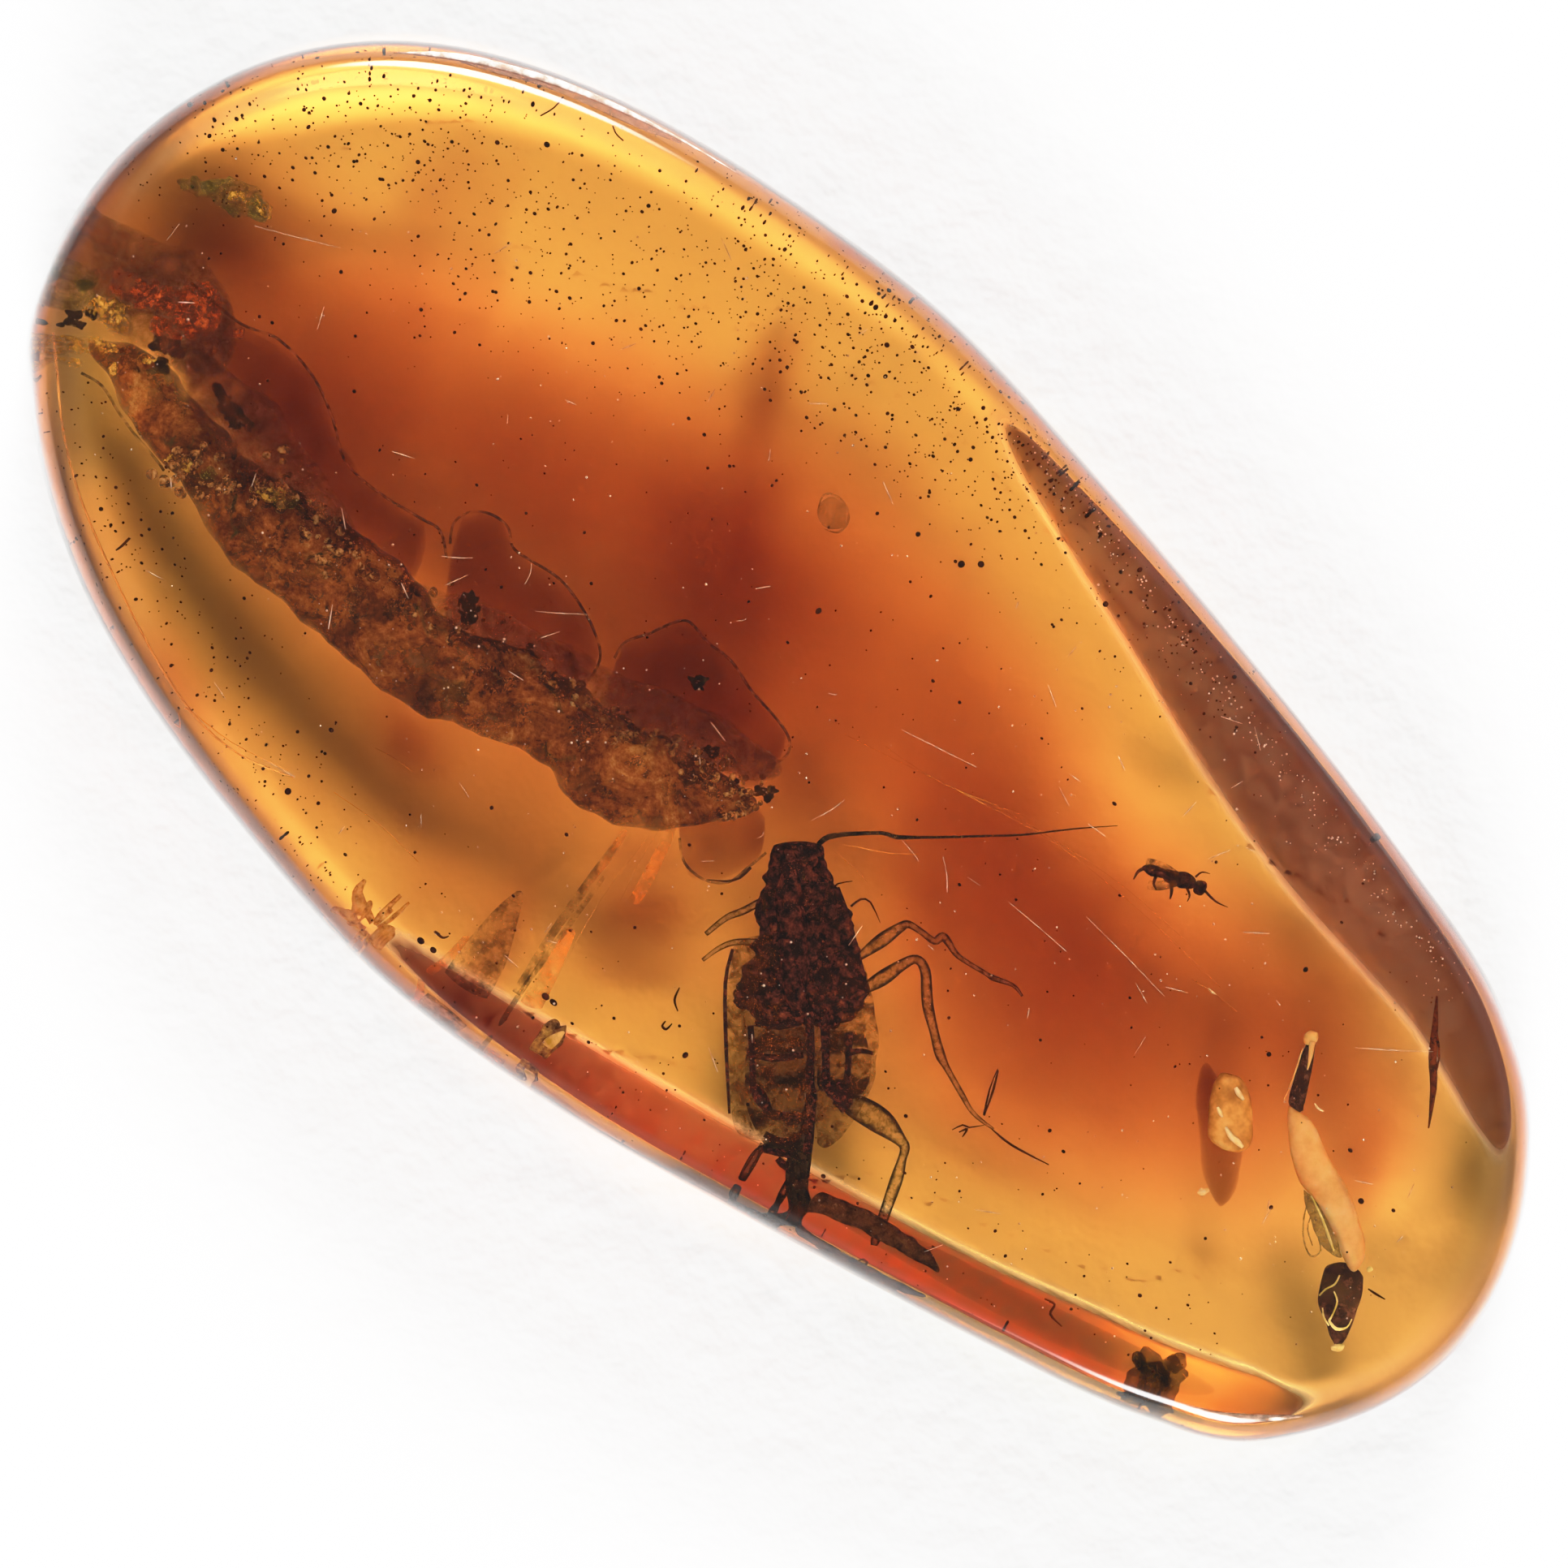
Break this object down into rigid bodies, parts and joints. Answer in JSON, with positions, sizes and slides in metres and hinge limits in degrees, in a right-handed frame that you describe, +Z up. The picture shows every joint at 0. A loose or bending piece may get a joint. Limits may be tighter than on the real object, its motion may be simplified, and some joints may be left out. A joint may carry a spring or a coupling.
{
  "type": "insect in amber",
  "caption": "Polished oval piece of clear orange amber that lies flat, with a winged insect, a small fly and scraps of bark and stem sealed inside.",
  "frame": {"origin": "centre of the outline's box, on the surface that the flat underside rests on", "axes": "+X along the piece to its thin end, +Y across it to the side with the wide dark bevel, +Z up out of the domed top"},
  "size_m": [0.028, 0.0136, 0.0045],
  "materials": {
    "amber": "polished",
    "insect": "satin",
    "small_fly": "satin",
    "bark_strip": "matte",
    "stem_fragment": "satin",
    "thorn": "satin",
    "golden_flake": "satin",
    "pale_scale": "satin",
    "bark_crumb": "matte",
    "twig_fragment": "matte"
  },
  "bodies": {
    "root": {"amber_upper": "amber", "amber_lower": "amber", "insect": "insect", "small_fly": "small_fly", "bark_strip": "bark_strip", "stem_fragment": "stem_fragment", "thorn": "thorn", "golden_flake": "golden_flake", "pale_scale": "pale_scale", "bark_crumb": "bark_crumb", "twig_fragment": "twig_fragment"}
  },
  "joints": []
}
